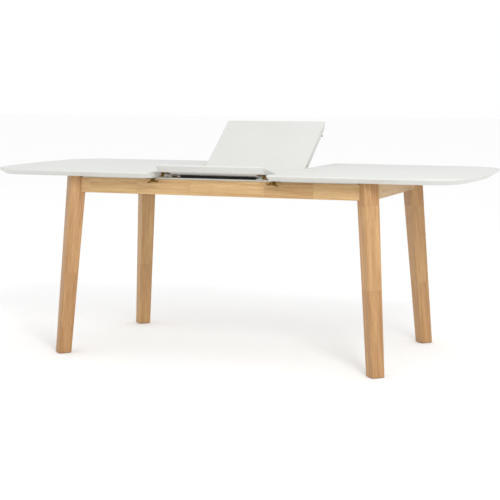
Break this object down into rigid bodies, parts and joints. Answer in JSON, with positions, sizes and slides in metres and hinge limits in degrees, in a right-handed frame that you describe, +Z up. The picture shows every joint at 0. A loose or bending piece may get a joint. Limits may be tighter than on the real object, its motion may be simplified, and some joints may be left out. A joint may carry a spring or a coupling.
{
  "type": "extendable dining table",
  "caption": "Extendable dining table: two sliding white top halves, a folding butterfly leaf and a splayed-leg wooden frame.",
  "frame": {"origin": "on the floor under the middle of the table", "axes": "+X along the table, -Y the front, +Z up; the table is drawn open and its leaf is half unfolded"},
  "size_m": [2.014, 0.85, 0.9326],
  "materials": {
    "white_lacquer": "satin white lacquer on fibreboard",
    "rubberwood": "finger-jointed rubberwood, clear satin lacquer",
    "yellow_zinc": "yellow-passivated zinc plate",
    "bright_zinc": "bright zinc plate",
    "aluminium": "extruded, natural anodised",
    "white_nylon": "moulded",
    "black_steel": "satin black paint on steel",
    "grey_felt": "pressed felt"
  },
  "bodies": {
    "frame": {"leg_left_front": "rubberwood", "leg_left_rear": "rubberwood", "leg_right_front": "rubberwood", "leg_right_rear": "rubberwood", "corner_bracket_left_front": "bright_zinc", "corner_bracket_left_rear": "bright_zinc", "corner_bracket_right_front": "bright_zinc", "corner_bracket_right_rear": "bright_zinc", "hanger_bolt_left_front": "bright_zinc", "hanger_bolt_left_rear": "bright_zinc", "hanger_bolt_right_front": "bright_zinc", "hanger_bolt_right_rear": "bright_zinc", "foot_glide_left_front": "grey_felt", "foot_glide_left_rear": "grey_felt", "foot_glide_right_front": "grey_felt", "foot_glide_right_rear": "grey_felt", "apron_front": "rubberwood", "apron_rear": "rubberwood", "apron_end_left": "rubberwood", "apron_end_right": "rubberwood", "cross_rail_left": "rubberwood", "cross_rail_right": "rubberwood", "leaf_rest_batten": "rubberwood", "guide_rail_front": "aluminium", "guide_rail_rear": "aluminium", "glide_strip_front": "white_nylon", "glide_strip_rear": "white_nylon", "pivot_bracket_left": "yellow_zinc", "pivot_bracket_right": "yellow_zinc", "pivot_pin_left": "bright_zinc", "pivot_pin_right": "bright_zinc"},
    "left_top": {"top_left": "white_lacquer", "runner_left_front": "aluminium", "runner_left_rear": "aluminium", "lock_base_left_front": "yellow_zinc", "lock_base_left_rear": "yellow_zinc"},
    "right_top": {"top_right": "white_lacquer", "runner_right_front": "aluminium", "runner_right_rear": "aluminium", "lock_base_right_front": "yellow_zinc", "lock_base_right_rear": "yellow_zinc"},
    "front_leaf": {"leaf_front": "white_lacquer", "leaf_stiffener": "black_steel", "leaf_arm_left": "yellow_zinc", "leaf_arm_right": "yellow_zinc", "lock_keeper_left_front": "yellow_zinc", "lock_keeper_right_front": "yellow_zinc", "hinge_plate_left_front": "yellow_zinc", "hinge_plate_right_front": "yellow_zinc"},
    "fold_links": {"hinge_link_left": "yellow_zinc", "hinge_link_right": "yellow_zinc"},
    "rear_leaf": {"leaf_rear": "white_lacquer", "lock_keeper_left_rear": "yellow_zinc", "lock_keeper_right_rear": "yellow_zinc", "hinge_plate_left_rear": "yellow_zinc", "hinge_plate_right_rear": "yellow_zinc"},
    "lever_left_front": {"lock_lever_left_front": "yellow_zinc"},
    "lever_left_rear": {"lock_lever_left_rear": "yellow_zinc"},
    "lever_right_front": {"lock_lever_right_front": "yellow_zinc"},
    "lever_right_rear": {"lock_lever_right_rear": "yellow_zinc"}
  },
  "joints": [
    {"name": "left_top_slide", "type": "slide", "parent": "frame", "child": "left_top", "axis": [-1, 0, 0], "range_m": [-0.01, 0.015]},
    {"name": "right_top_slide", "type": "slide", "parent": "frame", "child": "right_top", "axis": [1, 0, 0], "range_m": [-0.01, 0.015]},
    {"name": "leaf_tilt", "type": "hinge", "parent": "frame", "child": "front_leaf", "pos_m": [0, -0.284, 0.706], "axis": [1, 0, 0], "range_deg": [0, 13.2]},
    {"name": "leaf_fold_front", "type": "hinge", "parent": "front_leaf", "child": "fold_links", "pos_m": [0, -0.00301, 0.68221], "axis": [1, 0, 0], "range_deg": [-48.5, 0]},
    {"name": "leaf_fold_rear", "type": "hinge", "parent": "fold_links", "child": "rear_leaf", "pos_m": [0, 0.00515, 0.68798], "axis": [1, 0, 0], "range_deg": [0, 128]},
    {"name": "lever_left_front_swing", "type": "hinge", "parent": "left_top", "child": "lever_left_front", "pos_m": [-0.254, -0.378, 0.715], "axis": [0, 1, 0], "range_deg": [0, 40]},
    {"name": "lever_left_rear_swing", "type": "hinge", "parent": "left_top", "child": "lever_left_rear", "pos_m": [-0.254, 0.378, 0.715], "axis": [0, 1, 0], "range_deg": [0, 40]},
    {"name": "lever_right_front_swing", "type": "hinge", "parent": "right_top", "child": "lever_right_front", "pos_m": [0.254, -0.378, 0.715], "axis": [0, -1, 0], "range_deg": [0, 40]},
    {"name": "lever_right_rear_swing", "type": "hinge", "parent": "right_top", "child": "lever_right_rear", "pos_m": [0.254, 0.378, 0.715], "axis": [0, -1, 0], "range_deg": [0, 40]}
  ],
  "couplings": [
    {"joint": "leaf_fold_front", "follows": "leaf_tilt", "ratio": -3.6742}
  ]
}
